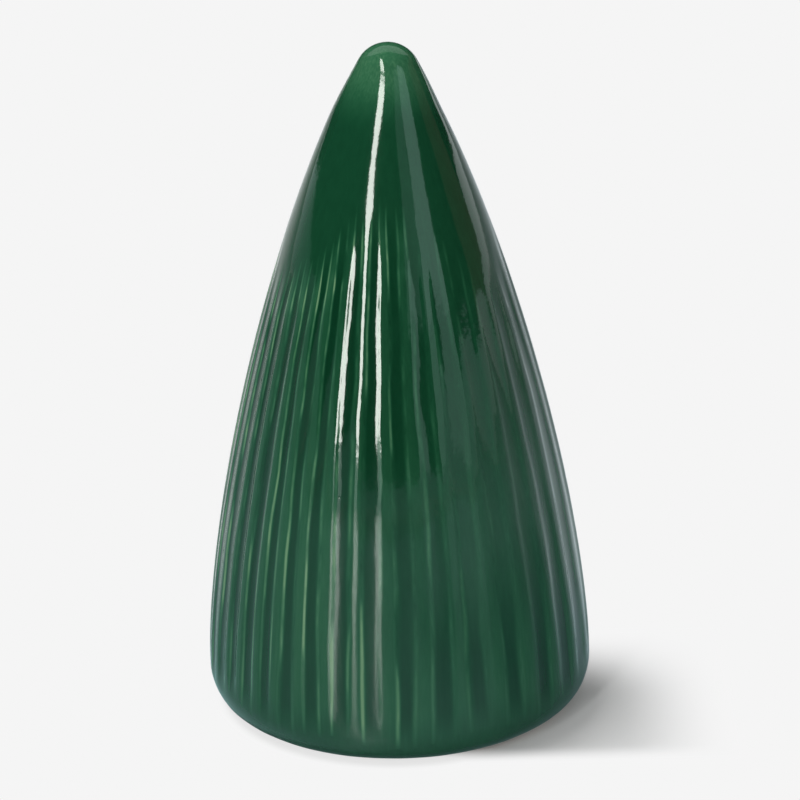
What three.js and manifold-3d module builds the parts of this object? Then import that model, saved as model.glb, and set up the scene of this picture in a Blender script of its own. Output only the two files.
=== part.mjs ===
// A decorative tree in glazed ceramic: a slip-cast cone with soft upright ribs, hollow inside, with
// a vent hole in its base and four felt pads under it. The ribs were carved by hand on the model
// that the mould was taken from, so their widths and the heights where they end drift a little.
// Millimetres, +Z up. The origin is on the surface that the tree stands on, under its tip, and
// directions round the tree are counted from the front, which is -Y, towards +X.

import * as THREE from "three";
import { mergeVertices } from "three/addons/utils/BufferGeometryUtils.js";
import Module from "manifold-3d";

const wasm = await Module();
wasm.setup();

const TURN = 2 * Math.PI;
const DEGREE = TURN / 360;
const { lerp, smoothstep } = THREE.MathUtils;

// The ceramic form. Heights are measured up from its foot ring.
const HEIGHT = 130;
const BELLY_RADIUS = 37.1; // the widest, at the top of the heel
const FOOT_INSET = 5.5; // from the belly in to the outer edge of the foot ring
const HEEL_HEIGHT = 6.7; // the round under-edge between foot ring and belly
const BELLY_RISE = 22.8; // how strongly the wall leaves the belly upright
const TIP_RADIUS = 6.2;
const TIP_SLOPE = 28.3 * DEGREE; // lean of the wall where it meets the round tip
const TIP_REACH = 42.7; // how strongly the wall keeps that lean below the tip
const WALL = 4; // even, as slip casting leaves it, and the same in the base

// The ribs are what stands between the grooves. A groove starts just above the belly and runs out
// high up the cone. The run-outs rise and fall round the tree in a slow wave.
const RIB_COUNT = 36;
const RIB_TURN = 0.6 * DEGREE; // turns the whole pattern
const DRIFT_ONCE = 6 * DEGREE; // the hand's drift in spacing, once round
const DRIFT_TWICE = 3 * DEGREE; // and twice round
const GROOVE_DEPTH = 0.5;
const GROOVE_SHARE = 0.66; // its whole width as a share of the pitch, round shoulders included
const GROOVE_RISE = 1.3; // from the top of the heel to where a groove starts
const GROOVE_RISE_SCATTER = 1.3;
const GROOVE_RUN_IN = 3.6; // rise over which it comes to full depth
const GROOVE_DROP = 36; // from the tip down to where a groove has run out
const GROOVE_DROP_WAVE = 12.5;
const GROOVE_DROP_WAVES = 3;
const HIGHEST_RUN_OUT = -27 * DEGREE; // direction of one of the highest
const GROOVE_DROP_SCATTER = 2.5;
const GROOVE_RUN_OUT = 26; // rise over which it fades
const SCATTER_STEP = 2.4; // radians from groove to groove, so that no two neighbours are alike

// The underside.
const FOOT_RING_WIDTH = 4.6; // the unglazed ring that the casting was fired on
const FOOT_RING_CHAMFER = 0.5;
const RECESS_DEPTH = 1;
const VENT_RADIUS = 6;
const VENT_CHAMFER = 0.8;

// The felt pads, stuck to the floor of the recess.
const PAD_COUNT = 4;
const PAD_RADIUS = 4;
const PAD_PROUD = 0.5; // how far a pad stands out below the foot ring
const PAD_MARGIN = 1.5; // from a pad's edge to the side of the recess

// How finely the round forms are cut into flat faces.
const SAMPLES_ACROSS_RIB = 5;
const RUN_IN_ROW = 2.7;
const WALL_ROW = 6;
const HEEL_ROW = 2.5;
const TIP_ROW = 2;
const SMOOTH_SEGMENTS = 60;
const HOLLOW_SEGMENTS = 48;
const HOLLOW_ROW = 9;
const PAD_SEGMENTS = 32;
const CUT_MARGIN = 1; // how far a cutting form runs past the face that it opens
const AXIS_MARGIN = 0.01; // nearer than this, an outline closes on the axis

const RIB_PITCH = TURN / RIB_COUNT;
const FOOT_RADIUS = BELLY_RADIUS - FOOT_INSET;
const RECESS_RADIUS = FOOT_RADIUS - FOOT_RING_WIDTH;
const FLOOR_HEIGHT = RECESS_DEPTH + WALL;
const PAD_THICKNESS = RECESS_DEPTH + PAD_PROUD;
const PAD_CIRCLE = RECESS_RADIUS - PAD_MARGIN - PAD_RADIUS;
const RUN_IN_TOP = HEEL_HEIGHT + GROOVE_RISE + GROOVE_RISE_SCATTER + GROOVE_RUN_IN;
const RUN_OUT_TOP = HEIGHT - GROOVE_DROP + GROOVE_DROP_WAVE + GROOVE_DROP_SCATTER;

const glaze = new THREE.MeshStandardMaterial({ color: 0x1c5a36, roughness: 0.12, metalness: 0 });
const felt = new THREE.MeshStandardMaterial({ color: 0x8d8a84, roughness: 0.95, metalness: 0 });

// The outline of the wall as (radius, height), in three stretches from the foot ring to the tip.
const heel = new THREE.EllipseCurve(
  FOOT_RADIUS, HEEL_HEIGHT, FOOT_INSET, HEEL_HEIGHT, -TURN / 4, 0,
);
const tip = new THREE.EllipseCurve(
  0, HEIGHT - TIP_RADIUS, TIP_RADIUS, TIP_RADIUS, TIP_SLOPE, TURN / 4,
);
const side = sideBetween(heel.getPoint(1), tip.getPoint(0));

function sideBetween(belly, neck) {
  const aboveBelly = new THREE.Vector2(belly.x, belly.y + BELLY_RISE);
  const downTheWall = new THREE.Vector2(Math.sin(TIP_SLOPE), -Math.cos(TIP_SLOPE));
  const belowNeck = neck.clone().addScaledVector(downTheWall, TIP_REACH);
  return new THREE.CubicBezierCurve(belly, aboveBelly, belowNeck, neck);
}

// Places on a curve at even steps, from just after one distance along it up to another, as shares
// of its length.
function placesAlong(curve, step, from = 0, to = curve.getLength()) {
  const count = Math.ceil((to - from) / step);
  const distances = Array.from({ length: count }, (_, i) => lerp(from, to, (i + 1) / count));
  return distances.map((distance) => distance / curve.getLength());
}

function pointsAlong(curve, step, from, to) {
  return placesAlong(curve, step, from, to).map((place) => curve.getPointAt(place));
}

// The same, one wall thickness further in.
function innerPointsAlong(curve, step) {
  return placesAlong(curve, step).map((place) => {
    const tangent = curve.getTangentAt(place);
    const inward = new THREE.Vector2(-tangent.y, tangent.x);
    return curve.getPointAt(place).addScaledVector(inward, WALL);
  });
}

// Where an evenly spaced place in the pattern really lies round the tree.
function drifted(turn) {
  return turn + RIB_TURN - DRIFT_ONCE * Math.cos(turn) - DRIFT_TWICE * Math.cos(2 * turn);
}

function scatter(groove) {
  return Math.sin((groove % RIB_COUNT) * SCATTER_STEP);
}

function grooveStart(groove) {
  return HEEL_HEIGHT + GROOVE_RISE + GROOVE_RISE_SCATTER * scatter(groove);
}

function grooveEnd(groove) {
  const direction = drifted(groove * RIB_PITCH);
  const wave = Math.cos(GROOVE_DROP_WAVES * (direction - HIGHEST_RUN_OUT));
  return HEIGHT - GROOVE_DROP + GROOVE_DROP_WAVE * wave + GROOVE_DROP_SCATTER * scatter(groove);
}

// How deep the surface lies under the smooth outline, from the nearest groove.
function carvedDepth(turn, height) {
  const groove = Math.round(turn / RIB_PITCH);
  const pitchesAway = Math.abs(turn / RIB_PITCH - groove);
  const across = smoothstep(1 - (2 * pitchesAway) / GROOVE_SHARE, 0, 1);
  const runIn = smoothstep((height - grooveStart(groove)) / GROOVE_RUN_IN, 0, 1);
  const runOut = smoothstep((grooveEnd(groove) - height) / GROOVE_RUN_OUT, 0, 1);
  return GROOVE_DEPTH * across * runIn * runOut;
}

// A ring of vertices round the tree at one point of the outline, with the grooves carved in.
function addRing(positions, point, count) {
  const first = positions.length / 3;
  for (let i = 0; i < count; i += 1) {
    const turn = (TURN * i) / count;
    const direction = drifted(turn);
    const radius = point.x - carvedDepth(turn, point.y);
    positions.push(radius * Math.sin(direction), -radius * Math.cos(direction), point.y);
  }
  return { first, count };
}

// Triangles between two rings, which may have different counts, and a count of 1 makes a fan. Each
// step is taken on the ring that lags behind the other on its way round.
function joinRings(triangles, lower, upper) {
  const at = (ring, i) => ring.first + (i % ring.count);
  let low = 0;
  let up = 0;
  while (low < lower.count || up < upper.count) {
    if ((low + 1) / lower.count <= (up + 1) / upper.count) {
      triangles.push(at(lower, low), at(lower, low + 1), at(upper, up));
      low += 1;
    } else {
      triangles.push(at(lower, low), at(upper, up + 1), at(upper, up));
      up += 1;
    }
  }
}

// The outside of the casting, as a closed form: a loft through rings from the base to the apex.
function ribbedForm() {
  const runIn = RUN_IN_TOP - HEEL_HEIGHT;
  const outline = [
    heel.getPoint(0),
    ...pointsAlong(heel, HEEL_ROW),
    ...pointsAlong(side, RUN_IN_ROW, 0, runIn),
    ...pointsAlong(side, WALL_ROW, runIn),
    ...pointsAlong(tip, TIP_ROW).slice(0, -1),
  ];
  const positions = [];
  const triangles = [];
  const rings = outline.map((point) => {
    const ribbed = point.y > HEEL_HEIGHT && point.y < RUN_OUT_TOP;
    return addRing(positions, point, ribbed ? RIB_COUNT * SAMPLES_ACROSS_RIB : SMOOTH_SEGMENTS);
  });
  rings.slice(1).forEach((ring, i) => joinRings(triangles, rings[i], ring));

  const centre = positions.length / 3;
  positions.push(0, 0, 0);
  joinRings(triangles, { first: centre, count: 1 }, rings[0]);
  const apex = positions.length / 3;
  positions.push(0, 0, HEIGHT);
  joinRings(triangles, rings[rings.length - 1], { first: apex, count: 1 });

  const geometry = new THREE.BufferGeometry();
  geometry.setAttribute("position", new THREE.Float32BufferAttribute(positions, 3));
  geometry.setIndex(triangles);
  return geometry;
}

// The outline of the hollow above its floor, up to where it comes close to the axis.
function hollowOutline() {
  const points = [
    ...innerPointsAlong(heel, HEEL_ROW),
    ...innerPointsAlong(side, HOLLOW_ROW),
    ...innerPointsAlong(tip, TIP_ROW),
  ];
  return points.filter((point) => point.y > FLOOR_HEIGHT && point.x > AXIS_MARGIN);
}

// Everything that is taken out of the form, turned as one: recess, vent and hollow.
function openings() {
  const wall = hollowOutline();
  const corner = wall[0].x;
  const top = wall[wall.length - 1].y;
  const outline = [
    [0, -CUT_MARGIN],
    [RECESS_RADIUS + FOOT_RING_CHAMFER + CUT_MARGIN, -CUT_MARGIN],
    [RECESS_RADIUS, FOOT_RING_CHAMFER],
    [RECESS_RADIUS, RECESS_DEPTH],
    [VENT_RADIUS + VENT_CHAMFER, RECESS_DEPTH],
    [VENT_RADIUS, RECESS_DEPTH + VENT_CHAMFER],
    [VENT_RADIUS, FLOOR_HEIGHT],
    [corner, FLOOR_HEIGHT],
    ...wall.map((point) => [point.x, point.y]),
    [0, top],
  ];
  const points = outline.map(([radius, height]) => new THREE.Vector2(radius, height));
  return new THREE.LatheGeometry(points, HOLLOW_SEGMENTS).rotateX(TURN / 4);
}

// A closed geometry as a solid. Triangles that have closed up to a line, at a fan's centre or on
// the axis of a turned form, are left out.
function solidOf(geometry) {
  geometry.deleteAttribute("normal");
  geometry.deleteAttribute("uv");
  const merged = mergeVertices(geometry);
  const corners = Array.from(merged.index.array);
  const triVerts = corners.filter((_, i) => {
    const [a, b, c] = corners.slice(i - (i % 3), i - (i % 3) + 3);
    return a !== b && b !== c && c !== a;
  });
  const vertProperties = merged.attributes.position.array;
  return new wasm.Manifold(
    new wasm.Mesh({ numProp: 3, vertProperties, triVerts: new Uint32Array(triVerts) }),
  );
}

function geometryOf(solid) {
  const mesh = solid.getMesh();
  const geometry = new THREE.BufferGeometry();
  geometry.setAttribute("position", new THREE.BufferAttribute(mesh.vertProperties, 3));
  geometry.setIndex(new THREE.BufferAttribute(mesh.triVerts, 1));
  geometry.computeVertexNormals();
  return geometry;
}

function treeBody() {
  const casting = solidOf(ribbedForm()).subtract(solidOf(openings()));
  const body = new THREE.Mesh(geometryOf(casting), glaze);
  body.name = "tree_body";
  body.position.z = PAD_PROUD;
  return body;
}

function footPad(index) {
  const disc = new THREE.CylinderGeometry(PAD_RADIUS, PAD_RADIUS, PAD_THICKNESS, PAD_SEGMENTS);
  const pad = new THREE.Mesh(disc.rotateX(TURN / 4), felt);
  const direction = ((index + 0.5) / PAD_COUNT) * TURN;
  pad.name = `foot_pad_${index + 1}`;
  pad.position.set(
    PAD_CIRCLE * Math.sin(direction),
    -PAD_CIRCLE * Math.cos(direction),
    PAD_THICKNESS / 2,
  );
  return pad;
}

const tree = new THREE.Group();
tree.add(treeBody());
for (let index = 0; index < PAD_COUNT; index += 1) {
  tree.add(footPad(index));
}

export default tree;
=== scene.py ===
# %% [markdown]
# # A small tree in green glazed ceramic
#
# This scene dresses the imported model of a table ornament: a hollow cone that was cast in a mould,
# with upright ribs carved by hand and a deep green, glassy glaze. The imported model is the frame.
# It says how large each piece is and where it is, and nothing here moves it or changes its shape.
# Everything below is in metres, with +Z up and the front of the tree towards -Y.

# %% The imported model
import math

import bpy
from mathutils import Matrix, Vector


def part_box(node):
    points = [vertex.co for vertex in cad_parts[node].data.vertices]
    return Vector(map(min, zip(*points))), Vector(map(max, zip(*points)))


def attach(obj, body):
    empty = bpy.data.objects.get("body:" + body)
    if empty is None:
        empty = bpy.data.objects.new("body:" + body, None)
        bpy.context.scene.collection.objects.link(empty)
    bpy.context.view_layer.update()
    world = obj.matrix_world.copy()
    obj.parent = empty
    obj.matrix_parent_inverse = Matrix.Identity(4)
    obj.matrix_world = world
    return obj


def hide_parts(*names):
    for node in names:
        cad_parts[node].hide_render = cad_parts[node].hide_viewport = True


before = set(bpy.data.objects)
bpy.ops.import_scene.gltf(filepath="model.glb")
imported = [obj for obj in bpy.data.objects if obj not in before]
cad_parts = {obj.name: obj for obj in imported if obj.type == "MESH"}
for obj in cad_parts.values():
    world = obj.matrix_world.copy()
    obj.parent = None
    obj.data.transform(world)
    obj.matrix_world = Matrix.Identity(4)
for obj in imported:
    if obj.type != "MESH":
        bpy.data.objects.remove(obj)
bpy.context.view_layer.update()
scene = bpy.context.scene
scene.view_settings.view_transform = "Standard"

MM = 0.001
DEGREE = math.pi / 180
print("nodes", sorted(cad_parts))

# %% [markdown]
# ## Sizes
#
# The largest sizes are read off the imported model, so the dressed tree can't outgrow it. The rest
# are the sizes that the mould maker would write on a drawing of the cone: the shape of its wall,
# and the way the hand-carved grooves start, drift and run out.

# %% Sizes of the casting
body_low, body_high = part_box("tree_body")
BASE = body_low.z  # the foot ring, held up a little by the felt pads
HEIGHT = body_high.z - body_low.z
BELLY_RADIUS = max(body_high.x, -body_low.x, body_high.y, -body_low.y)
FOOT_INSET = 5.5 * MM
HEEL_HEIGHT = 6.7 * MM
BELLY_RISE = 22.8 * MM
TIP_RADIUS = 6.2 * MM
TIP_SLOPE = 28.3 * DEGREE
TIP_REACH = 42.7 * MM
WALL = 4 * MM
FOOT_RADIUS = BELLY_RADIUS - FOOT_INSET
FOOT_RING_WIDTH = 4.6 * MM
RECESS_RADIUS = FOOT_RADIUS - FOOT_RING_WIDTH
RECESS_DEPTH = 1 * MM
VENT_RADIUS = 6 * MM
VENT_CHAMFER = 0.8 * MM
RECESS_EDGE = 0.5 * MM
SOFT_EDGE = 0.25 * MM
FLOOR_HEIGHT = RECESS_DEPTH + WALL

RIB_COUNT = 36
print("tree", round(HEIGHT / MM, 2), "mm tall, belly", round(2 * BELLY_RADIUS / MM, 2), "mm across")

# %% [markdown]
# ## Writing node trees as sums
#
# Both the shapes and the finishes below are node trees. Written node by node they would be long
# and hard to follow, so two small classes do it. A `Wire` is one output of a node, and sums such
# as `1 - depth * share` add the Math nodes that work them out. A `Graph` adds any other node from
# its type, its settings and what its sockets hold. A third way would be to draw the trees by hand
# in the editor, but then the script couldn't make them again.

# %% Wires and graphs
class Wire:
    """One output of a node. Sums that are written with it add Math nodes to its tree."""

    def __init__(self, graph, socket):
        self.graph = graph
        self.socket = socket

    def __add__(self, other):
        return self.graph.math("ADD", self, other)

    def __sub__(self, other):
        return self.graph.math("SUBTRACT", self, other)

    def __rsub__(self, other):
        return self.graph.math("SUBTRACT", other, self)

    def __mul__(self, other):
        return self.graph.math("MULTIPLY", self, other)

    def __truediv__(self, other):
        return self.graph.math("DIVIDE", self, other)

    __radd__ = __add__
    __rmul__ = __mul__

    def output(self, name):
        """Another output of the same node."""
        return Wire(self.graph, self.socket.node.outputs[name])


class Graph:
    """Adds nodes to one tree. A node gets its settings first, and then its sockets."""

    def __init__(self, tree):
        self.tree = tree
        tree.nodes.clear()

    def add(self, kind, settings=None, sockets=None, output=0):
        node = self.tree.nodes.new(kind)
        for name, value in (settings or {}).items():
            if name == "stops":
                set_stops(node.color_ramp, value)
            elif name == "points":
                set_points(node.mapping, value)
            else:
                setattr(node, name, value)
        for name, value in (sockets or {}).items():
            if isinstance(value, Wire):
                self.tree.links.new(value.socket, node.inputs[name])
            else:
                node.inputs[name].default_value = value
        return Wire(self, node.outputs[output]) if node.outputs else node

    def math(self, operation, *values):
        return self.add("ShaderNodeMath", {"operation": operation}, dict(enumerate(values)))

    def vector(self, operation, *values):
        return self.add("ShaderNodeVectorMath", {"operation": operation}, dict(enumerate(values)))

    def smooth(self, value, low, high):
        """0 below low and 1 above high, with a soft turn at both. Low may be the larger one."""
        settings = {"interpolation_type": "SMOOTHSTEP"}
        sockets = {"Value": value, "From Min": low, "From Max": high}
        return self.add("ShaderNodeMapRange", settings, sockets)

    def noise(self, place, stretch, detail=2.0, shift=0.0):
        """Soft noise from about -1 to 1. Stretch is how many bumps fit a metre along X, Y and Z."""
        scaled = self.vector("MULTIPLY", place, stretch)
        moved = self.vector("ADD", scaled, shift if isinstance(shift, Wire) else [shift] * 3)
        sockets = {"Vector": moved, "Scale": 1.0, "Detail": detail}
        return self.add("ShaderNodeTexNoise", {}, sockets) * 2.0 - 1.0

    def join(self, *meshes):
        """One geometry from several."""
        joined = self.add("GeometryNodeJoinGeometry")
        for mesh in meshes:
            self.tree.links.new(mesh.socket, joined.socket.node.inputs[0])
        return joined

    def mix(self, share, first, second):
        """Two colours mixed by a share from 0 to 1."""
        sockets = {0: share, 6: first, 7: second}
        return self.add("ShaderNodeMix", {"data_type": "RGBA"}, sockets, output=2)


def set_stops(ramp, stops):
    """Gives a colour ramp its (place, colour) stops."""
    while len(ramp.elements) < len(stops):
        ramp.elements.new(1.0)
    for element, (place, colour) in zip(ramp.elements, stops):
        element.position = place
        element.color = (*colour, 1.0)


def set_points(mapping, points):
    """Gives a float curve its (in, out) points."""
    curve = mapping.curves[0]
    while len(curve.points) < len(points):
        curve.points.new(1.0, 1.0)
    for point, place in zip(curve.points, points):
        point.location = place
    mapping.update()


# %% [markdown]
# ## The outline of the casting
#
# A casting like this is round at every height, apart from its grooves, so one line drawn from the
# inside of the tip, down through the hollow, across the base and up the outside to the tip again
# says nearly all of its shape. It could be one curve object, but a plain list of points keeps the
# rows of the later surface where they are needed: close together at the tip, the rounded heel and
# the edges of the foot ring, and far apart on the inside, which only shows through the vent.

# %% Stretches of the outline
def spaced(points, step):
    """The same line with points at even distances, its last one included and its first left out."""
    lengths = [0.0]
    for first, second in zip(points, points[1:]):
        lengths.append(lengths[-1] + (second - first).length)
    count = max(1, math.ceil(lengths[-1] / step))
    result = []
    segment = 0
    for i in range(1, count + 1):
        distance = min(lengths[-1] * i / count, lengths[-1])
        while segment < len(points) - 2 and lengths[segment + 1] < distance:
            segment += 1
        span = lengths[segment + 1] - lengths[segment]
        share = (distance - lengths[segment]) / span
        result.append(points[segment].lerp(points[segment + 1], share))
    return result


def arc(centre, across, up, start, end, count=60):
    """Points of an ellipse as (radius, height) between two directions."""
    turns = [start + (end - start) * i / count for i in range(count + 1)]
    return [centre + Vector((across * math.cos(t), up * math.sin(t))) for t in turns]


def wall_curve(belly, neck, count=200):
    """The long curve of the wall, upright at the belly and leaning where it meets the tip."""
    above_belly = belly + Vector((0, BELLY_RISE))
    lean = Vector((math.sin(TIP_SLOPE), -math.cos(TIP_SLOPE)))
    below_neck = neck + lean * TIP_REACH
    points = []
    for i in range(count + 1):
        t = i / count
        s = 1 - t
        points.append(
            belly * s**3
            + above_belly * (3 * s * s * t)
            + below_neck * (3 * s * t * t)
            + neck * t**3
        )
    return points


def shifted_inwards(points, distance):
    """The line that runs at one distance inside another one."""
    result = []
    for i, point in enumerate(points):
        along = points[min(i + 1, len(points) - 1)] - points[max(i - 1, 0)]
        along.normalize()
        result.append(point + Vector((-along.y, along.x)) * distance)
    return result


def softened(corners, radius=SOFT_EDGE):
    """A line through corners with each inner corner rounded off a little, as fired clay is."""
    points = [corners[0]]
    for before, corner, after in zip(corners, corners[1:], corners[2:]):
        into = corner + (before - corner).normalized() * radius
        out = corner + (after - corner).normalized() * radius
        points += [into, (into + 2 * corner + out) / 4, out]
    return points + [corners[-1]]


# %% The whole outline
heel = arc(Vector((FOOT_RADIUS, HEEL_HEIGHT)), FOOT_INSET, HEEL_HEIGHT, -math.pi / 2, 0)
tip = arc(Vector((0, HEIGHT - TIP_RADIUS)), TIP_RADIUS, TIP_RADIUS, TIP_SLOPE, math.pi / 2)
side = wall_curve(heel[-1], tip[0])


def inside_outline():
    """From the inside of the tip down to the edge of the floor of the hollow."""
    whole = heel[:-1] + side[:-1] + tip
    inner = [p for p in shifted_inwards(whole, WALL) if p.y > FLOOR_HEIGHT and p.x > 0]
    inner = spaced(inner, INSIDE_STEP)
    return [Vector((0, inner[-1].y)), *reversed(inner)]


def base_outline(hollow_edge):
    """The floor of the hollow, the vent, the recess and the foot ring."""
    corners = [
        (hollow_edge.x, FLOOR_HEIGHT),
        (VENT_RADIUS, FLOOR_HEIGHT),
        (VENT_RADIUS, RECESS_DEPTH + VENT_CHAMFER),
        (VENT_RADIUS + VENT_CHAMFER, RECESS_DEPTH),
        (RECESS_RADIUS, RECESS_DEPTH),
        (RECESS_RADIUS, RECESS_EDGE),
        (RECESS_RADIUS + RECESS_EDGE, 0),
        (FOOT_RADIUS, 0),
    ]
    return softened([Vector(corner) for corner in corners])


# How far apart the rows of the surface are on each stretch of the outline.
HEEL_STEP = 0.7 * MM
SIDE_STEP = 1.02 * MM
TIP_STEP = 0.6 * MM
INSIDE_STEP = 5 * MM

inner_rows = inside_outline()
base_rows = base_outline(inner_rows[-1])
outer_rows = [
    *spaced(heel, HEEL_STEP),
    *spaced(side, SIDE_STEP),
    *spaced(tip, TIP_STEP)[:-1],
    Vector((0, HEIGHT)),
]
outline = inner_rows + base_rows + outer_rows
print("outline rows", len(outline), "of which outside", len(outer_rows))

# %% [markdown]
# ## The carved form
#
# The grooves repeat round the tree and follow a rule, so Geometry Nodes make the casting. The tree
# below bends a flat grid into the turned form, one column of the grid for each direction and one
# row for each point of the outline, and sinks the nearest groove into it. Modelling 36 grooves by
# hand, or cutting them with 36 tools, would be slower to change and harder to make uneven in the
# soft way that a hand is uneven. Here the spacing drifts once and twice round the tree, and each
# groove starts and ends at its own height, wanders a little on its way up and varies in depth.
#
# A groove is a shallow U with a broad floor and straight sides, and the rib between two grooves
# has a nearly flat crest. A crest mirrors a long lamp as one bright line, which splits in two where
# the clay is uneven. The grooves are shallower at the front than round the rest of the tree, and
# the tip leans a little to the right.

# %% Sizes of the grooves
GROOVES = {
    "Columns a Rib": 14,
    "Ribs": RIB_COUNT,
    "Turn": 0.9 * DEGREE,
    "Drift Once": 6.0 * DEGREE,
    "Drift Twice": 3.5 * DEGREE,
    "Depth": 0.275 * MM,
    "Deeper Behind": 0.7,
    "Deeper From": 30 * DEGREE,
    "Deeper To": 54 * DEGREE,
    "Start": BASE + 5.2 * MM,
    "Start Scatter": 0.9 * MM,
    "Run In": 7.0 * MM,
    "End": BASE + HEIGHT - 32.0 * MM,
    "End Wave": 7.0 * MM,
    "End Scatter": 1.0 * MM,
    "Highest End": -3 * DEGREE,
    "Run Out": 15 * MM,
    "Scatter Step": 4.88,
    "Wander": 0.16,
    "Wander Seed": 41.71,
    "Lumps": 0.07 * MM,
    "Foot Roll": 0.3 * MM,
    "Tip Lean": 0.38 * MM,
}
GROOVE_SECTION = [
    (0.0, 1.0),
    (0.12, 0.98),
    (0.3, 0.88),
    (0.71, 0.11),
    (0.77, 0.02),
    (0.82, 0.0),
    (1.0, 0.006),
]

# Kinds of unevenness in the clay: how many bumps fit a metre along X, Y and Z, their detail, and a
# shift that makes each kind its own.
WANDER_STRETCH = (160.0, 160.0, 22.0)
UNEVEN_DEPTH = ((120.0, 120.0, 30.0), 1.0, 7.7)
LUMPS = ((70.0, 70.0, 55.0), 2.0, 1.3)
FOOT_ROLL = ((110.0, 110.0, 60.0), 1.0, 5.9)
DEPTH_SHARE = 0.2  # of the depth of a groove, more or less
END_WAVES = 3.0  # how often the upper ends of the grooves rise and fall round the tree

# Bands where something fades in, from the place where there is none of it to where it is whole.
AWAY_FROM_AXIS = (0.5 * MM, 5.0 * MM)
AT_FOOT = (BASE + 5.0 * MM, BASE + 1.5 * MM)
OFF_RING = (BASE, BASE + MM)
AT_TIP = (BASE + HEIGHT - 14.0 * MM, BASE + HEIGHT - 3.0 * MM)
MERGE_DISTANCE = 0.001 * MM


# %% A turned surface in nodes
def geometry_graph(name, sizes):
    """A Geometry Nodes tree with a named input for each size, and the node that holds them."""
    tree = bpy.data.node_groups.new(name, "GeometryNodeTree")
    for direction in ("INPUT", "OUTPUT"):
        tree.interface.new_socket("Mesh", in_out=direction, socket_type="NodeSocketGeometry")
    for label, value in sizes.items():
        kind = "NodeSocketInt" if isinstance(value, int) else "NodeSocketFloat"
        tree.interface.new_socket(label, in_out="INPUT", socket_type=kind)
    graph = Graph(tree)
    return graph, graph.add("NodeGroupInput")


def turned_grid(graph, outline_mesh, columns):
    """A grid with its column as a turn from -180 to 180 degrees, and its row's outline point."""
    rows = graph.add("GeometryNodeAttributeDomainSize", {}, {"Geometry": outline_mesh})
    grid = graph.add(
        "GeometryNodeMeshGrid",
        {},
        {"Size X": 1.0, "Size Y": 1.0, "Vertices X": columns + 1, "Vertices Y": rows},
    )
    place = graph.add("GeometryNodeInputPosition")
    parts = graph.add("ShaderNodeSeparateXYZ", {}, {0: place})
    turn = parts.output("X") * math.tau
    row = (parts.output("Y") + 0.5) * (rows - 1.0)
    nearest = graph.add("FunctionNodeFloatToInt", {"rounding_mode": "ROUND"}, {0: row})
    point = graph.add(
        "GeometryNodeSampleIndex",
        {"data_type": "FLOAT_VECTOR"},
        {"Geometry": outline_mesh, "Value": place, "Index": nearest},
    )
    outer = graph.add("GeometryNodeInputNamedAttribute", {}, {"Name": "outer"})
    is_outer = graph.add(
        "GeometryNodeSampleIndex",
        {"data_type": "FLOAT"},
        {"Geometry": outline_mesh, "Value": outer, "Index": nearest},
    )
    return grid, turn, point, is_outer


def place_round(graph, direction, radius, height):
    """The place at a direction counted from -Y towards +X, a radius and a height."""
    x = radius * graph.math("SINE", direction)
    y = 0.0 - radius * graph.math("COSINE", direction)
    return graph.add("ShaderNodeCombineXYZ", {}, {"X": x, "Y": y, "Z": height})


def keep(graph, mesh, name, value):
    """Stores a value on every point under a name, for the finish to read."""
    sockets = {"Geometry": mesh, "Name": name, "Value": value}
    return graph.add("GeometryNodeStoreNamedAttribute", {"data_type": "FLOAT"}, sockets)


def closed(graph, mesh):
    """A turned grid with the points of its seam and its poles joined."""
    sockets = {"Geometry": mesh, "Distance": MERGE_DISTANCE}
    return graph.add("GeometryNodeMergeByDistance", {}, sockets)


def finish_mesh(graph, mesh, material):
    """Closes the seam and the poles, and makes the result one smooth mesh with its material."""
    smooth = graph.add("GeometryNodeSetShadeSmooth", {}, {"Geometry": closed(graph, mesh)})
    real = graph.add("GeometryNodeRealizeInstances", {}, {"Geometry": smooth})
    painted = graph.add(
        "GeometryNodeSetMaterial", {}, {"Geometry": real, "Material": material}
    )
    graph.add("NodeGroupOutput", {}, {"Mesh": painted})


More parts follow.
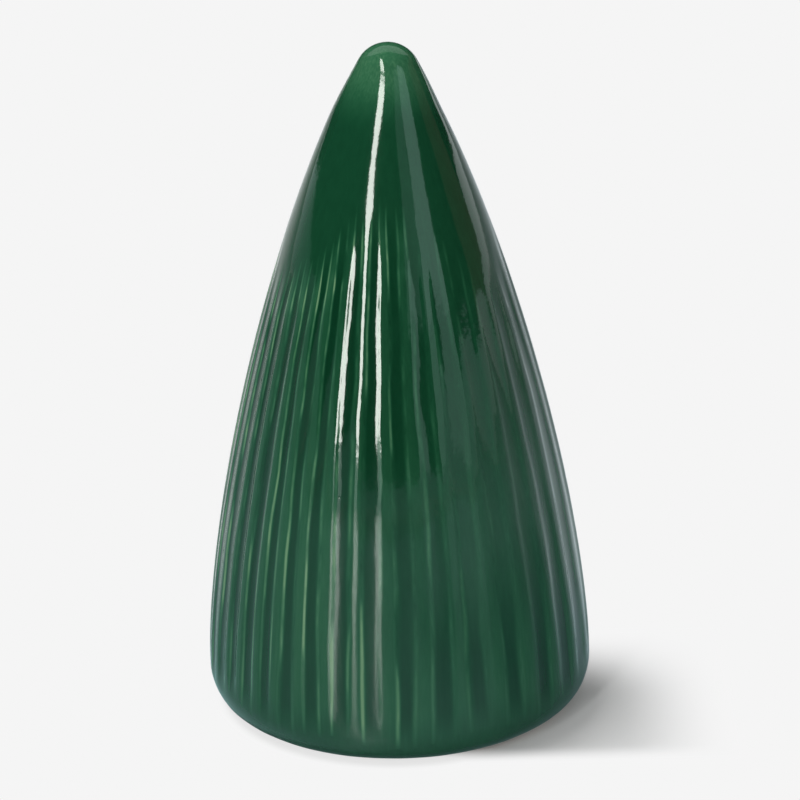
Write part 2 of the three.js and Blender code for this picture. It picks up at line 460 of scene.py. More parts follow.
# %% The groove rule
def carved_casting(material):
    """The tree that turns the outline into the casting with its grooves."""
    graph, size = geometry_graph("carved_casting", GROOVES)
    columns = size.output("Columns a Rib") * size.output("Ribs")
    grid, turn, point, outer = turned_grid(graph, size, columns)
    outline_parts = graph.add("ShaderNodeSeparateXYZ", {}, {0: point})
    radius = outline_parts.output("X")
    height = outline_parts.output("Z")
    direction = (
        turn
        + size.output("Turn")
        - size.output("Drift Once") * graph.math("COSINE", turn)
        - size.output("Drift Twice") * graph.math("COSINE", turn * 2.0)
    )
    smooth_place = place_round(graph, direction, radius, height)

    seed = size.output("Wander Seed")
    wander = graph.noise(smooth_place, WANDER_STRETCH, 1.0, seed) * size.output("Wander")
    pitches = turn * size.output("Ribs") / math.tau + wander
    groove = graph.math("ROUND", pitches)
    across = graph.math("ABSOLUTE", pitches - groove) * 2.0
    section = graph.add("ShaderNodeFloatCurve", {"points": GROOVE_SECTION}, {"Value": across})

    ribs = size.output("Ribs")
    counted = groove - ribs * graph.math("FLOOR", groove / ribs)
    scatter = graph.math("SINE", counted * size.output("Scatter Step"))
    start = size.output("Start") + size.output("Start Scatter") * scatter
    run_in = graph.smooth(height, start, start + size.output("Run In"))
    wave = graph.math("COSINE", (direction - size.output("Highest End")) * END_WAVES)
    end = size.output("End") + size.output("End Wave") * wave
    end = end + size.output("End Scatter") * scatter
    run_out = graph.smooth(height, end, end - size.output("Run Out"))
    uneven = 1.0 + graph.noise(smooth_place, *UNEVEN_DEPTH) * DEPTH_SHARE
    cut = run_in * run_out * uneven

    broad = graph.smooth(radius, *AWAY_FROM_AXIS) * outer
    lumps = graph.noise(smooth_place, *LUMPS) * size.output("Lumps")
    foot = graph.smooth(height, *AT_FOOT)
    roll = graph.noise(smooth_place, *FOOT_ROLL)
    roll = (roll * 0.5 + 0.5) * size.output("Foot Roll") * foot * outer
    from_front = graph.math("ABSOLUTE", direction)
    behind = graph.smooth(from_front, size.output("Deeper From"), size.output("Deeper To"))
    depth = size.output("Depth") * radius / BELLY_RADIUS
    depth = depth * (1.0 + behind * size.output("Deeper Behind"))
    sunk = section * depth * cut * outer
    carved_radius = radius - sunk + lumps * broad + roll * graph.smooth(height, *OFF_RING)
    mesh = keep(graph, grid, "across", across)
    mesh = keep(graph, mesh, "facing", graph.math("SINE", pitches * math.tau))
    mesh = keep(graph, mesh, "cut", cut * outer)
    mesh = keep(graph, mesh, "outer", outer)
    carved_place = place_round(graph, direction, carved_radius, height)
    leaning = graph.smooth(height, *AT_TIP) * size.output("Tip Lean")
    lean = graph.add("ShaderNodeCombineXYZ", {}, {"X": leaning})
    sockets = {"Geometry": mesh, "Position": graph.vector("ADD", carved_place, lean)}
    mesh = graph.add("GeometryNodeSetPosition", {}, sockets)
    finish_mesh(graph, mesh, material)
    return graph.tree


# %% Growing a piece
def outline_mesh(name, points, first_outer, lift=0.0):
    """A mesh of loose points for the tree to read, with the outer ones marked."""
    mesh = bpy.data.meshes.new(name)
    mesh.from_pydata([(p.x, 0, p.y + lift) for p in points], [], [])
    marks = mesh.attributes.new("outer", "FLOAT", "POINT")
    for i in range(len(points)):
        marks.data[i].value = 1.0 if i >= first_outer else 0.0
    return mesh


def grown(name, tree, start, sizes):
    """Runs a tree on a starting mesh and keeps the result as a plain mesh object."""
    worker = bpy.data.objects.new("worker", start)
    scene.collection.objects.link(worker)
    modifier = worker.modifiers.new(tree.name, "NODES")
    modifier.node_group = tree
    for item in tree.interface.items_tree:
        if item.in_out == "INPUT" and item.name in sizes:
            modifier[item.identifier] = sizes[item.name]
    depsgraph = bpy.context.evaluated_depsgraph_get()
    mesh = bpy.data.meshes.new_from_object(worker.evaluated_get(depsgraph))
    worker.modifiers.clear()
    bpy.data.objects.remove(worker)
    piece = bpy.data.objects.new(name, mesh)
    scene.collection.objects.link(piece)
    corners = sum(len(polygon.vertices) - 2 for polygon in mesh.polygons)
    print(name, len(mesh.vertices), "points", corners, "triangles")
    return piece


# %% [markdown]
# ## The glaze
#
# The finish is a transparent green glass over a cream clay. Light passes the glass twice, and the
# thicker the glass the deeper and bluer the green: Beer and Lambert's law. So the colour is worked
# out from a thickness. The glaze ran off the shoulders of the ribs while it was molten, and those
# show as light, slightly yellow lines, and it gathered in the grooves, which are the darkest. Fine
# streaks run down the wall. The coat is also made thinner in the lower half, which is lighter for
# it, and on the tip, partly as glaze that ran thin on the point and partly as a painted sheen of
# the pale light behind the tree. A painted picture would give the same colours for this one shape
# only. The thickness rule follows the carving wherever it goes.

# %% Colour of glass over clay
CLAY = (0.66, 0.62, 0.36)
ABSORBED = (5.05, 2.55, 2.9)  # in one full thickness, for red, green and blue


def glass_over_clay(thickness):
    """Beer and Lambert's law, as a share of the light that comes back for each colour."""
    return tuple(c * math.exp(-k * thickness) for c, k in zip(CLAY, ABSORBED))


THINNEST = 0.3
THICKEST = 1.5
STOP_COUNT = 9
glaze_stops = []
for i in range(STOP_COUNT):
    share = i / (STOP_COUNT - 1)
    glaze_stops.append((share, glass_over_clay(THINNEST + share * (THICKEST - THINNEST))))
print("one thickness of glaze", [round(v, 3) for v in glass_over_clay(1.0)])


# %% Sizes of the glaze
GLAZE_ROUGHNESS = 0.065
CLAY_ROUGHNESS = 0.85
GLAZE_INDEX = 1.5
DARK_CLAY = (0.6, 0.52, 0.4, 1.0)
PALE_CLAY = (0.8, 0.73, 0.6, 1.0)

# Kinds of unevenness: how many bumps fit a metre along X, Y and Z, their detail, and a shift.
LINE_WAVER = ((260.0, 260.0, 32.0), 1.0, 3.0)
LINE_BREAKS = ((330.0, 330.0, 7.0), 2.0, 5.0)
STREAKS = ((900.0, 900.0, 45.0), 3.0, 2.0)
FIBRES = ((2600.0, 2600.0, 260.0), 2.0, 9.0)
CLOUDS = ((45.0, 45.0, 30.0), 2.0, 4.0)
GLAZE_EDGE = ((130.0, 130.0, 130.0), 2.0, 6.0)
CLAY_SPECKS = ((2400.0, 2400.0, 2400.0), 2.0, 8.0)
PEEL = ((900.0, 900.0, 700.0), 1.0, 11.0)
GRAIN = ((3200.0, 3200.0, 2600.0), 1.0, 12.0)
FLUTES = ((1300.0, 1300.0, 30.0), 1.0, 13.0)

# Bands across a rib, where 0 is the middle of a groove and 1 the middle of a crest, and how the
# light line on its shoulder faces, breaks, sways and fades.
SHOULDER_LOW = (0.32, 0.52)
SHOULDER_HIGH = (0.74, 0.56)
GROOVE_BAND = (0.5, 0.2)
CREST_BAND = (0.5, 0.8)
FACING_LEFT = (-0.2, 0.2)
LINE_UNBROKEN = (-0.35, 0.3)
LINE_SWAY = 0.2
LINE_FADE = 0.25  # the power that lets a line fade later than its groove

# Bands on the tree, from the place where there is none of something to where it is whole.
LEFT_SIDE = (26.0 * MM, -16.0 * MM)
LOWER_PART = (BASE + 38.0 * MM, BASE + 16.0 * MM)
BELOW_MIDDLE = (BASE + 80.0 * MM, BASE + 40.0 * MM)
GROOVE_ENDS = (BASE + 62.0 * MM, BASE + 82.0 * MM)
NEAR_TIP = (BASE + HEIGHT - 15.0 * MM, BASE + HEIGHT - 4.0 * MM)
GLAZED_ABOVE = (BASE + 0.55 * MM, BASE + 0.8 * MM)
EDGE_WAVER = 0.35 * MM  # how far the lower edge of the glaze wanders up and down

# Pinholes are left by bubbles. Only some of the cells that the wall is divided into hold one.
PINHOLE_CELLS = 75.0  # to a metre
PINHOLE_SHARE = 0.35
PINHOLE_BAND = (0.03, 0.012)

# How thick the coat is, where 1 is one full thickness, and by how much it is thinner or thicker
# where the molten glaze ran off or gathered. The lower half is made lighter too, and so is the tip,
# where the thinner coat is partly a painted sheen.
COAT = {
    "even": 0.95,
    "lighter below the middle": 0.09,
    "gathered in a groove": 0.17,
    "thinner on a crest": 0.12,
    "line on a shoulder": 0.1,
    "line in the lower part": 0.1,
    "line on the left": 0.46,
    "streaks in a line": 0.2,
    "fibres in a line": 0.14,
    "less of a line that faces left": 0.35,
    "end of a groove": 0.3,
    "crest at the end of a groove": 0.7,
    # The next three make the tip lighter: glaze that ran thin on the point, and a painted sheen of
    # the pale light behind the tree.
    "tip": 0.33,
    "fibres on the tip": 0.16,
    "clouds on the tip": 0.3,
    "streaks": 0.06,
    "fibres": 0.035,
    "clouds": 0.07,
    "pinhole": 0.5,
}

# How high the unevenness of the surface is, in millimetres.
RELIEF = {"peel": 0.004, "grain": 0.0008, "flutes": 0.006, "pinhole": 0.08, "clay": 0.03}


# %% The glazed ceramic
def shader_graph(name):
    """A new material with an empty node tree."""
    material = bpy.data.materials.new(name)
    material.use_nodes = True
    return material, Graph(material.node_tree)


def named(graph, name):
    """A value that the Geometry Nodes tree stored on the mesh."""
    return graph.add("ShaderNodeAttribute", {"attribute_name": name}, output=2)


def coat_thickness(graph, place, height, cut, pinhole):
    """How thick the glaze is: thin on the shoulders and crests, thick in the grooves."""
    sideways = graph.add("ShaderNodeSeparateXYZ", {}, {0: place}).output("X")
    across = named(graph, "across") + graph.noise(place, *LINE_WAVER) * LINE_SWAY
    shoulder = graph.smooth(across, *SHOULDER_LOW) * graph.smooth(across, *SHOULDER_HIGH)
    facing = graph.smooth(named(graph, "facing"), *FACING_LEFT)
    sided = 1.0 - facing * COAT["less of a line that faces left"]
    groove = graph.smooth(across, *GROOVE_BAND)
    crest = graph.smooth(across, *CREST_BAND)
    to_left = graph.smooth(sideways, *LEFT_SIDE)
    broken = graph.smooth(graph.noise(place, *LINE_BREAKS), *LINE_UNBROKEN)
    fade = graph.math("POWER", graph.math("MAXIMUM", cut, 0.0), LINE_FADE)
    ending = graph.smooth(height, *GROOVE_ENDS) * cut * (1.0 - cut) * 4.0
    low = graph.smooth(height, *LOWER_PART)
    contrast = cut * graph.math("MAXIMUM", to_left, low)
    near_tip = graph.smooth(height, *NEAR_TIP)
    streaks = graph.noise(place, *STREAKS)
    fibres = graph.noise(place, *FIBRES)
    clouds = graph.noise(place, *CLOUDS)

    on_line = COAT["line on a shoulder"]
    on_line = on_line + low * COAT["line in the lower part"] + to_left * COAT["line on the left"]
    thin_line = broken * on_line + streaks * COAT["streaks in a line"]
    at_end = (crest * COAT["crest at the end of a groove"] + shoulder) * ending * to_left * broken
    # The tip: glaze that ran thin on the point, and a painted sheen of the pale light behind the
    # tree.
    thin_glaze_and_sheen_at_tip = COAT["tip"] + fibres * COAT["fibres on the tip"] + clouds * COAT["clouds on the tip"]
    return (
        COAT["even"]
        # lighter towards the bottom, below the middle
        - graph.smooth(height, *BELOW_MIDDLE) * COAT["lighter below the middle"]
        + groove * contrast * COAT["gathered in a groove"]
        - shoulder * sided * fade * thin_line
        - shoulder * fade * fibres * COAT["fibres in a line"]
        - crest * contrast * COAT["thinner on a crest"]
        - at_end * COAT["end of a groove"]
        - near_tip * thin_glaze_and_sheen_at_tip
        + streaks * COAT["streaks"]
        + fibres * COAT["fibres"]
        + clouds * COAT["clouds"]
        - pinhole * COAT["pinhole"]
    )


def pinholes(graph, place):
    """1 in the few small pits that bubbles left in the glaze."""
    cells = graph.add("ShaderNodeTexVoronoi", {}, {"Vector": place, "Scale": PINHOLE_CELLS})
    lot = graph.add("ShaderNodeSeparateColor", {}, {0: cells.output("Color")})
    few = graph.math("LESS_THAN", lot.output("Red"), PINHOLE_SHARE)
    return graph.smooth(cells.output("Distance"), *PINHOLE_BAND) * few


def ceramic():
    """Glaze outside, and bare clay on the foot ring, under it and inside."""
    material, graph = shader_graph("glazed_ceramic_finish")
    place = graph.add("ShaderNodeTexCoord", output=3)
    height = graph.add("ShaderNodeSeparateXYZ", {}, {0: place}).output("Z")
    cut = named(graph, "cut")
    pinhole = pinholes(graph, place)
    thickness = coat_thickness(graph, place, height, cut, pinhole)
    share = (thickness - THINNEST) / (THICKEST - THINNEST)
    glass = graph.add("ShaderNodeValToRGB", {"stops": glaze_stops}, {"Fac": share})

    edge = graph.noise(place, *GLAZE_EDGE) * EDGE_WAVER
    glazed = named(graph, "outer") * graph.smooth(height + edge, *GLAZED_ABOVE)
    specks = graph.noise(place, *CLAY_SPECKS)
    bare = graph.mix(specks * 0.25 + 0.4, DARK_CLAY, PALE_CLAY)
    colour = graph.mix(glazed, bare, glass)
    roughness = CLAY_ROUGHNESS - glazed * (CLAY_ROUGHNESS - GLAZE_ROUGHNESS)

    relief = graph.noise(place, *PEEL) * RELIEF["peel"]
    relief = relief + graph.noise(place, *GRAIN) * RELIEF["grain"]
    relief = relief + graph.noise(place, *FLUTES) * RELIEF["flutes"] * cut
    relief = relief - pinhole * RELIEF["pinhole"]
    total = relief * glazed + specks * RELIEF["clay"] * (1.0 - glazed)
    bumped = graph.add("ShaderNodeBump", {}, {"Strength": 1.0, "Distance": MM, "Height": total})

    finish = {"Base Color": colour, "Roughness": roughness, "IOR": GLAZE_INDEX, "Normal": bumped}
    surface = graph.add("ShaderNodeBsdfPrincipled", {}, finish)
    graph.add("ShaderNodeOutputMaterial", {}, {"Surface": surface})
    return material


# %% The casting
glazed_ceramic = ceramic()
start_mesh = outline_mesh("casting_outline", outline, len(inner_rows) + len(base_rows), BASE)
casting = grown("ceramic_casting", carved_casting(glazed_ceramic), start_mesh, GROOVES)
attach(casting, "root")
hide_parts("tree_body")

# %% [markdown]
# ## Felt pads
#
# Four discs of pressed grey felt are stuck under the casting. They hardly show, but the tree
# stands on them, and their thickness leaves the fine dark gap under the foot ring. Each is turned
# from a small outline with rounded edges and dented by noise, and short fibres stand out of its
# side. Cloth simulation would do nothing here, because pressed felt this small doesn't bend.

# %% Felt in nodes
FELT = {
    "Columns": 56,
    "Dents": 0.06 * MM,
    "Fibres a Square Metre": 4.0e6,
    "Fibre Length": 0.28 * MM,
    "Seed": 1,
}
FIBRE_TIP = 0.004 * MM
FIBRE_ROOT = 0.016 * MM
FIBRE_LEAN = 0.8  # in radians, at most
FIBRE_SIDES = 3
PAD_RADIUS = 4.0 * MM
FELT_STEP = 0.3 * MM
FELT_RELIEF = 0.1 * MM
FELT_ROUGHNESS = 0.95
FELT_SHEEN = 0.4
FELT_DENTS = (900.0, 900.0, 900.0)
FELT_MAT = ((4000.0, 4000.0, 4000.0), 3.0, 1.0)
FELT_STRANDS = ((9000.0, 1500.0, 9000.0), 2.0, 2.0)
DARK_WOOL = (0.24, 0.235, 0.23, 1.0)
PALE_WOOL = (0.6, 0.59, 0.57, 1.0)


def random_lean(graph, seed, most):
    """A turn by a random angle about each axis."""
    sockets = {0: (-most, -most, -most), 1: (most, most, most), "Seed": seed}
    angles = graph.add("FunctionNodeRandomValue", {"data_type": "FLOAT_VECTOR"}, sockets)
    return graph.add("FunctionNodeEulerToRotation", {}, {0: angles})


def side_fibres(graph, size, disc):
    """Short fibres that stand out of the side of the disc, clear of its two faces."""
    normal = graph.add("ShaderNodeSeparateXYZ", {}, {0: graph.add("GeometryNodeInputNormal")})
    upright = graph.math("LESS_THAN", graph.math("ABSOLUTE", normal.output("Z")), 0.5)
    roots = graph.add(
        "GeometryNodeDistributePointsOnFaces",
        {},
        {
            "Mesh": disc,
            "Selection": upright,
            "Density": size.output("Fibres a Square Metre"),
            "Seed": size.output("Seed"),
        },
    )
    sizes = {
        "Vertices": FIBRE_SIDES,
        "Radius Top": FIBRE_TIP,
        "Radius Bottom": FIBRE_ROOT,
        "Depth": size.output("Fibre Length"),
    }
    fibre = graph.add("GeometryNodeMeshCone", {"fill_type": "NONE"}, sizes)
    turns = {
        "Rotation": roots.output("Rotation"),
        "Rotate By": random_lean(graph, size.output("Seed"), FIBRE_LEAN),
    }
    turned = graph.add("FunctionNodeRotateRotation", {"rotation_space": "LOCAL"}, turns)
    sockets = {"Points": roots, "Instance": fibre, "Rotation": turned}
    return graph.add("GeometryNodeInstanceOnPoints", {}, sockets)


def felt_disc(material):
    """The tree that turns a small outline into a felt pad with fibres on its side."""
    graph, size = geometry_graph("felt_disc", FELT)
    grid, turn, point, _ = turned_grid(graph, size, size.output("Columns"))
    parts = graph.add("ShaderNodeSeparateXYZ", {}, {0: point})
    radius = parts.output("X")
    place = place_round(graph, turn, radius, parts.output("Z"))
    seed = graph.add("ShaderNodeCombineXYZ", {}, {"X": size.output("Seed") * 1.0})
    dents = graph.noise(graph.vector("ADD", place, seed), FELT_DENTS)
    pressed = radius * (1.0 - (dents * 0.5 + 0.5) * size.output("Dents") / PAD_RADIUS)
    place = place_round(graph, turn, pressed, parts.output("Z"))
    sockets = {"Geometry": grid, "Position": place}
    disc = closed(graph, graph.add("GeometryNodeSetPosition", {}, sockets))
    finish_mesh(graph, graph.join(disc, side_fibres(graph, size, disc)), material)
    return graph.tree


# %% Felt finish
def felt():
    """Grey wool felt: pale and dark fibres in a soft, rough mat."""
    material, graph = shader_graph("grey_felt_finish")
    place = graph.add("ShaderNodeTexCoord", output=3)
    mat = graph.noise(place, *FELT_MAT)
    strands = graph.noise(place, *FELT_STRANDS)
    colour = graph.mix(mat * 0.5 + strands * 0.3 + 0.5, DARK_WOOL, PALE_WOOL)
    sockets = {"Strength": 1.0, "Distance": FELT_RELIEF, "Height": mat + strands}
    surface = graph.add(
        "ShaderNodeBsdfPrincipled",
        {},
        {
            "Base Color": colour,
            "Roughness": FELT_ROUGHNESS,
            "Sheen Weight": FELT_SHEEN,
            "Normal": graph.add("ShaderNodeBump", {}, sockets),
        },
    )
    graph.add("ShaderNodeOutputMaterial", {}, {"Surface": surface})
    return material


# %% The four pads
def felt_outline(radius, thickness):
    """From the middle of the lower face, round the two soft edges, to the middle of the upper."""
    corners = [(0, 0), (radius, 0), (radius, thickness), (0, thickness)]
    line = softened([Vector(corner) for corner in corners])
    return [line[0], *spaced(line, FELT_STEP)]


grey_felt = felt()
felt_tree = felt_disc(grey_felt)
for index in range(4):
    node = f"foot_pad_{index + 1}"
    low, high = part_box(node)
    radius = (high.x - low.x) / 2
    disc_outline = outline_mesh(node + "_outline", felt_outline(radius, high.z - low.z), 0)
    pad = grown(f"felt_pad_{index + 1}", felt_tree, disc_outline, FELT | {"Seed": index})
    pad.data.transform(Matrix.Translation(((low.x + high.x) / 2, (low.y + high.y) / 2, low.z)))
    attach(pad, "root")
    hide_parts(node)

# %% [markdown]
# ## Camera
#
# The picture was taken with a long lens from about 21 degrees above the table, and the camera was
# tilted a little, so the tree leans to the left by a degree and a half. The numbers below come
# from fitting the outline of the tree to the edge that the photograph shows.

# %% The camera
CAMERA_ELEVATION = 21.5 * DEGREE
CAMERA_DISTANCE = 684.46 * MM
CAMERA_ROLL = 1.4 * DEGREE
LENS = 162.0  # millimetres, on a sensor as wide as the next line says
SENSOR_WIDTH = 36.0
MIDDLE = Vector((0, 0, 63.2 * MM))  # the point of the tree that the camera goes round
AIM_RIGHT = 1.302 * MM
AIM_UP = -2.919 * MM


def photograph_camera():
    """The camera at the photograph's angle, tilted about its own axis."""
    back = Vector((0, -math.cos(CAMERA_ELEVATION), math.sin(CAMERA_ELEVATION)))
    level_up = Vector((0, math.sin(CAMERA_ELEVATION), math.cos(CAMERA_ELEVATION)))
    level_right = Vector((1, 0, 0))
    up = level_up * math.cos(CAMERA_ROLL) + level_right * math.sin(CAMERA_ROLL)
    right = level_right * math.cos(CAMERA_ROLL) - level_up * math.sin(CAMERA_ROLL)
    place = MIDDLE + back * CAMERA_DISTANCE
    backward = (place - (MIDDLE + right * AIM_RIGHT + up * AIM_UP)).normalized()
    right = up.cross(backward).normalized()
    up = backward.cross(right)
    data = bpy.data.cameras.new("camera")
    data.lens = LENS
    data.sensor_width = SENSOR_WIDTH
    camera = bpy.data.objects.new("camera", data)
    turn = Matrix((right, up, backward)).transposed().to_4x4()
    camera.matrix_world = Matrix.Translation(place) @ turn
    scene.collection.objects.link(camera)
    return camera


scene.camera = photograph_camera()

# %% [markdown]
# ## The set
#
# The photograph shows the tree cut out on a pale page with a soft shadow to its right. But its
# glaze also shows the room that it stood in: a grey, slightly shiny table, dark walls, a narrow
# upright lamp to the left of the camera, a pale panel to the right of it and pale light from behind.
# Glossy things are lit by what they mirror, so that room is built here as cards and lamps that the
# camera doesn't see, round a pale floor and a pale background that it does.

# %% Pale floor and background
PAGE = 0.913  # how bright the page is, where 1 is white
FLOOR_COLOUR = 0.9
BOUNCE_COLOUR = 0.35
FLOOR_RADIUS = 12.0

# Bands of the floor, from the place where it takes no shadow to where it takes it all.
SHADOW_LEFT = (-5 * MM, 18 * MM)
SHADOW_RIGHT = (64 * MM, 42 * MM)
SHADOW_FRONT = (-34.5 * MM, -28 * MM)
SHADOW_BACK = (22 * MM, -7 * MM)
CONTACT_BAND = (36.5 * MM, 33.5 * MM)
CONTACT_SHARE = 0.22


def page_rays(graph):
    """1 for rays that show the page: straight from the camera, mirrored or through glass."""
    rays = graph.add("ShaderNodeLightPath")
    mirrored = graph.math("MAXIMUM", rays.output("Is Glossy Ray"), rays.output("Is Camera Ray"))
    return graph.math("MAXIMUM", mirrored, rays.output("Is Transmission Ray"))


def plain(value):
    """A grey as a colour."""
    return (value, value, value, 1.0)


def glow(graph, colour):
    """Light that a surface gives off by itself."""
    return graph.add("ShaderNodeEmission", {}, {"Color": colour, "Strength": 1.0})


def floor_finish():
    """Paper that takes the shadow beside the tree and shows the plain page everywhere else."""
    material, graph = shader_graph("pale_floor_finish")
    place = graph.add("ShaderNodeTexCoord", output=3)
    parts = graph.add("ShaderNodeSeparateXYZ", {}, {0: place})
    across = parts.output("X")
    away = parts.output("Y")
    beside = graph.smooth(across, *SHADOW_LEFT) * graph.smooth(across, *SHADOW_RIGHT)
    shadow = beside * graph.smooth(away, *SHADOW_FRONT) * graph.smooth(away, *SHADOW_BACK)
    distance = graph.vector("LENGTH", place).output("Value")
    contact = graph.smooth(distance, *CONTACT_BAND) * CONTACT_SHARE
    near = graph.add("ShaderNodeBsdfDiffuse", {}, {"Color": plain(FLOOR_COLOUR)})
    far = glow(graph, plain(PAGE))
    kept = graph.math("MAXIMUM", shadow, contact)
    page = graph.add("ShaderNodeMixShader", {}, {0: kept, 1: far, 2: near})
    bounce = graph.add("ShaderNodeBsdfDiffuse", {}, {"Color": plain(BOUNCE_COLOUR)})
    seen = graph.add("ShaderNodeMixShader", {}, {0: page_rays(graph), 1: bounce, 2: page})
    graph.add("ShaderNodeOutputMaterial", {}, {"Surface": seen})
    return material


def flat_disc(name, radius, height, material, count=96):
    """A round flat card that faces up."""
    turns = [math.tau * i / count for i in range(count)]
    points = [(radius * math.cos(t), radius * math.sin(t), height) for t in turns]
    mesh = bpy.data.meshes.new(name)
    mesh.from_pydata(points, [], [list(range(count))])
    mesh.materials.append(material)
    card = bpy.data.objects.new(name, mesh)
    scene.collection.objects.link(card)
    return card


flat_disc("floor", FLOOR_RADIUS, 0.0, floor_finish())

# %% The pale page in the world
AMBIENT = 0.27


def set_world():
    """The page behind the tree, and an even light from all round it."""
    world = bpy.data.worlds.new("studio")
    world.use_nodes = True
    scene.world = world
    graph = Graph(world.node_tree)
    page = graph.add("ShaderNodeBackground", {}, {"Color": plain(PAGE), "Strength": 1.0})
    light = graph.add("ShaderNodeBackground", {}, {"Color": plain(AMBIENT), "Strength": 1.0})
    mixed = graph.add("ShaderNodeMixShader", {}, {0: page_rays(graph), 1: light, 2: page})
    graph.add("ShaderNodeOutputWorld", {}, {"Surface": mixed})


set_world()

# %% The room that only the glaze shows
# Colours round the room, as (turn from behind, over the left, the front and the right, colour).
TABLE_ROUND = [
    (0.11, (0.95, 1.0, 1.0)),
    (0.15, (0.66, 0.8, 0.82)),
    (0.19, (0.42, 0.6, 0.62)),
    (0.23, (0.32, 0.52, 0.54)),
    (0.4, (0.34, 0.58, 0.6)),
    (0.55, (0.38, 0.64, 0.68)),
    (0.68, (0.46, 0.7, 0.76)),
    (0.78, (0.62, 0.82, 0.88)),
    (0.84, (0.74, 0.88, 0.94)),
    (0.93, (0.84, 0.93, 0.97)),
]
BACKDROP_ROUND = [
    (0.1, (1.0, 1.08, 1.12)),
    (0.14, (0.6, 0.72, 0.74)),
    (0.18, (0.34, 0.48, 0.46)),
    (0.22, (0.22, 0.4, 0.35)),
    (0.38, (0.2, 0.36, 0.34)),
    (0.6, (0.32, 0.5, 0.5)),
    (0.68, (0.45, 0.68, 0.66)),
    (0.78, (0.76, 0.86, 0.86)),
    (0.85, (1.1, 1.2, 1.2)),
    (0.93, (1.2, 1.3, 1.3)),
]
TABLE_RADIUS = 3.0
TABLE_HEIGHT = 0.1 * MM
TABLE_ROUGHNESS = 0.33
TABLE_INDEX = 1.45
TABLE_TINT = (0.75, 1.0, 0.88, 1.0)
SHADED_TABLE = (0.16, 0.27, 0.33, 1.0)
SHADE_RIGHT = (0.0, 80 * MM)  # bands of the table where it darkens beside the tree
SHADE_FRONT = (60 * MM, -20 * MM)
SHADE_NEAR = (0.45, 0.12)
WALL_DISTANCE = 4.0
WALL_FOOT = -0.4
CEILING_HEIGHT = 5.0
WALL_COLOUR = (0.012, 0.012, 0.012)
CARD_DISTANCE = 3.6
CARD_MIDDLE = Vector((0, 0, 100 * MM))  # the height that the cards are seen from


def outward(azimuth, elevation):
    """The direction at an azimuth, counted from -Y towards +X, and an elevation, in degrees."""
    turn = azimuth * DEGREE
    rise = elevation * DEGREE
    flat = math.cos(rise)
    return Vector((math.sin(turn) * flat, -math.cos(turn) * flat, math.sin(rise)))


def only_mirrored(card):
    """Hides a card from everything but mirrored rays."""
    card.visible_camera = False
    card.visible_diffuse = False
    card.visible_shadow = False
    card.visible_transmission = False
    card.visible_volume_scatter = False


def colour_round(graph, stops):
    """A colour that changes with the direction from the tree, from behind it over its left."""
    parts = graph.add("ShaderNodeSeparateXYZ", {}, {0: graph.add("ShaderNodeTexCoord", output=3)})
    turn = graph.math("ARCTAN2", parts.output("X"), 0.0 - parts.output("Y"))
    return graph.add("ShaderNodeValToRGB", {"stops": stops}, {"Fac": turn / math.tau + 0.5})


def table_finish():
    """A slightly shiny table top, darker close to the tree on its shadow side."""
    material, graph = shader_graph("table_finish")
    place = graph.add("ShaderNodeTexCoord", output=3)
    parts = graph.add("ShaderNodeSeparateXYZ", {}, {0: place})
    distance = graph.vector("LENGTH", place).output("Value")
    shaded = graph.smooth(parts.output("X"), *SHADE_RIGHT) * graph.smooth(distance, *SHADE_NEAR)
    shaded = shaded * graph.smooth(parts.output("Y"), *SHADE_FRONT)
    colour = graph.mix(shaded, colour_round(graph, TABLE_ROUND), SHADED_TABLE)
    sockets = {"Base Color": colour, "Roughness": TABLE_ROUGHNESS, "IOR": TABLE_INDEX}
    sockets["Specular Tint"] = TABLE_TINT
    surface = graph.add("ShaderNodeBsdfPrincipled", {}, sockets)
    graph.add("ShaderNodeOutputMaterial", {}, {"Surface": surface})
    return material


def backdrop_finish():
    """What stands behind the far edge of the table."""
    material, graph = shader_graph("backdrop_finish")
    light = glow(graph, colour_round(graph, BACKDROP_ROUND))
    graph.add("ShaderNodeOutputMaterial", {}, {"Surface": light})
    return material


def glowing(name, colour):
    """A wall or card that looks the same from everywhere."""
    material, graph = shader_graph(name)
    graph.add("ShaderNodeOutputMaterial", {}, {"Surface": glow(graph, (*colour, 1.0))})
    return material


def mirrored_card(name, points, faces, material):
    """A card that only the glaze shows."""
    mesh = bpy.data.meshes.new(name)
    mesh.from_pydata(points, [], faces)
    mesh.materials.append(material)
    card = bpy.data.objects.new(name, mesh)
    scene.collection.objects.link(card)
    only_mirrored(card)
    return card


def round_wall(name, radius, low, high, material, count=48):
    """An upright round wall."""
    points = []
    for i in range(count + 1):
        flat = outward(360 * i / count, 0) * radius
        points += [flat + Vector((0, 0, z)) for z in (low, high)]
    faces = [(2 * i, 2 * i + 2, 2 * i + 3, 2 * i + 1) for i in range(count)]
    return mirrored_card(name, points, faces, material)


def card_in_glaze(name, rows, colour, distance=CARD_DISTANCE):
    """A far card. Each row is an elevation and the azimuths between which the card lies there."""
    points = []
    for elevation, start, end in rows:
        points += [CARD_MIDDLE + outward(a, elevation) * distance for a in (start, end)]
    faces = [(2 * i, 2 * i + 1, 2 * i + 3, 2 * i + 2) for i in range(len(rows) - 1)]
    return mirrored_card(name, points, faces, glowing(name + "_finish", colour))


only_mirrored(flat_disc("table_top", TABLE_RADIUS, TABLE_HEIGHT, table_finish()))
dark = glowing("dark_wall_finish", WALL_COLOUR)
round_wall("dark_walls", WALL_DISTANCE, WALL_FOOT, CEILING_HEIGHT, dark)
only_mirrored(flat_disc("dark_ceiling", WALL_DISTANCE, CEILING_HEIGHT, dark))

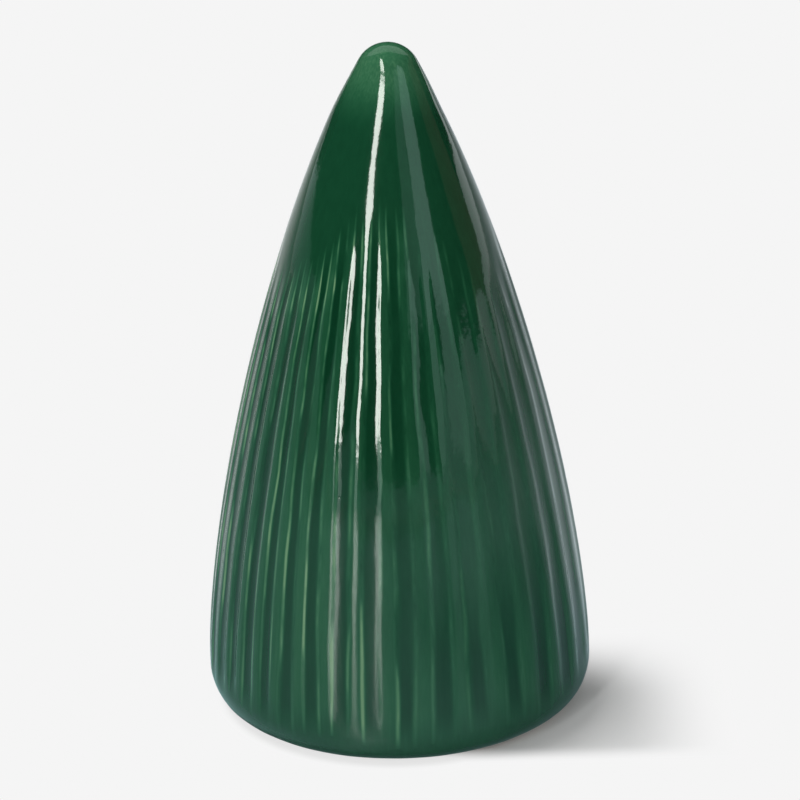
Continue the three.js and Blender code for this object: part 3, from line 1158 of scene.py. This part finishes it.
# The upper edge of the backdrop, as (azimuth, elevation) in degrees, all the way round.
BACKDROP_EDGE = [
    (-180, -1), (-138, -1.2), (-131, 0.7), (-120, 4.4), (-102, 6), (-75, 6), (-45, 3.5), (-28, 1),
    (20, 0.9), (30, 1.6), (50, 5), (67, 6.4), (78, 4.1), (97, 1.6), (107, 1.8), (113, 4.8),
    (120, 4.9), (134, 1.4), (180, -1),
]
BACKDROP_FOOT = -4
edge_points = [CARD_MIDDLE + outward(a, e) * CARD_DISTANCE for a, e in BACKDROP_EDGE]
foot_points = [
    CARD_MIDDLE + outward(a, BACKDROP_FOOT) * CARD_DISTANCE for a, _ in BACKDROP_EDGE
]
edge_count = len(BACKDROP_EDGE)
backdrop_faces = [
    (i, i + 1, i + 1 + edge_count, i + edge_count) for i in range(edge_count - 1)
]
mirrored_card("backdrop", edge_points + foot_points, backdrop_faces, backdrop_finish())

# Cards in the glaze, each as rows of (elevation, azimuth of its left edge, azimuth of its right
# edge) in degrees.
LAMP_FOOT = [(-1.8, -32.5, -25), (2.4, -32.5, -25)]
STRIP = [
    (2.5, -32.3, -24),
    (19, -32, -22.5),
    (22, -31.2, -21),
    (25, -29.8, -21.5),
    (28, -28.4, -20),
    (31, -27.5, -16),
    (35, -26.5, -10),
    (38.5, -27, -9),
]
STRIP_TOP = [(40.2, -29, -13), (52, -40, -20), (68, -66, -42)]
PANEL_LOW = [(1, 26, 50), (11, 27, 51)]
PANEL = [
    (11, 27, 51),
    (16.7, 30, 54),
    (21.6, 34, 55),
    (26, 36, 63),
    (31, 36, 65.5),
    (38, 40, 58),
    (46, 47, 49),
]
PANEL_SIDE = [(12, 15, 26.8), (16, 17, 29.5), (21.6, 18.5, 33.9), (31, 18, 35.9), (40, 26, 40)]
WARM_SIDE = [(2, 90, 112), (14, 84, 114), (26, 86, 150)]
BACK_LIGHT = [(28, -230, -130), (45, -240, -120), (62, -240, -120)]
CARDS = [
    ("back_light_in_glaze", BACK_LIGHT, (0.75, 0.85, 0.8)),
    ("lamp_foot_in_glaze", LAMP_FOOT, (1.5, 2.1, 1.9), CARD_DISTANCE - 0.1),
    ("strip_in_glaze", STRIP, (17.5, 18.0, 17.0)),
    ("strip_top_in_glaze", STRIP_TOP, (15.0, 15.5, 14.5)),
    ("panel_in_glaze", PANEL, (1.0, 1.5, 1.4)),
    ("panel_foot_in_glaze", PANEL_LOW, (0.62, 0.98, 0.9)),
    ("panel_side_in_glaze", PANEL_SIDE, (0.3, 0.5, 0.45)),
    ("warm_side_in_glaze", WARM_SIDE, (0.16, 0.1, 0.08)),
]
for card in CARDS:
    card_in_glaze(*card)


# %% Lamps
POWER_FOR_BRIGHTNESS = 4  # watts from a square metre of lamp


def softbox(name, azimuth, elevation, distance, wide, tall, brightness):
    """An area lamp in one direction from the tree, as large as the angles that it fills."""
    data = bpy.data.lights.new(name, "AREA")
    data.shape = "RECTANGLE"
    data.size = 2 * distance * math.tan(wide * DEGREE / 2)
    data.size_y = 2 * distance * math.tan(tall * DEGREE / 2)
    data.energy = POWER_FOR_BRIGHTNESS * brightness * data.size * data.size_y
    direction = outward(azimuth, elevation)
    lamp = bpy.data.objects.new(name, data)
    lamp.matrix_world = (
        Matrix.Translation(MIDDLE + direction * distance)
        @ direction.to_track_quat("Z", "Y").to_matrix().to_4x4()
    )
    lamp.visible_camera = False
    lamp.visible_glossy = False
    scene.collection.objects.link(lamp)
    return lamp


# Azimuth and elevation, distance in metres, width and height in degrees, and brightness.
LAMPS = {
    "key_from_the_left": (-114, 69, 1.6, 26, 26, 8.6),
    "strip_lamp": (-27, 22, 1.3, 4.5, 37, 10.0),
    "pale_panel": (41, 20, 1.5, 26, 40, 0.8),
    "fill_from_the_front": (0, 15, 1.6, 60, 30, 1.0),
}
for name, values in LAMPS.items():
    softbox(name, *values)
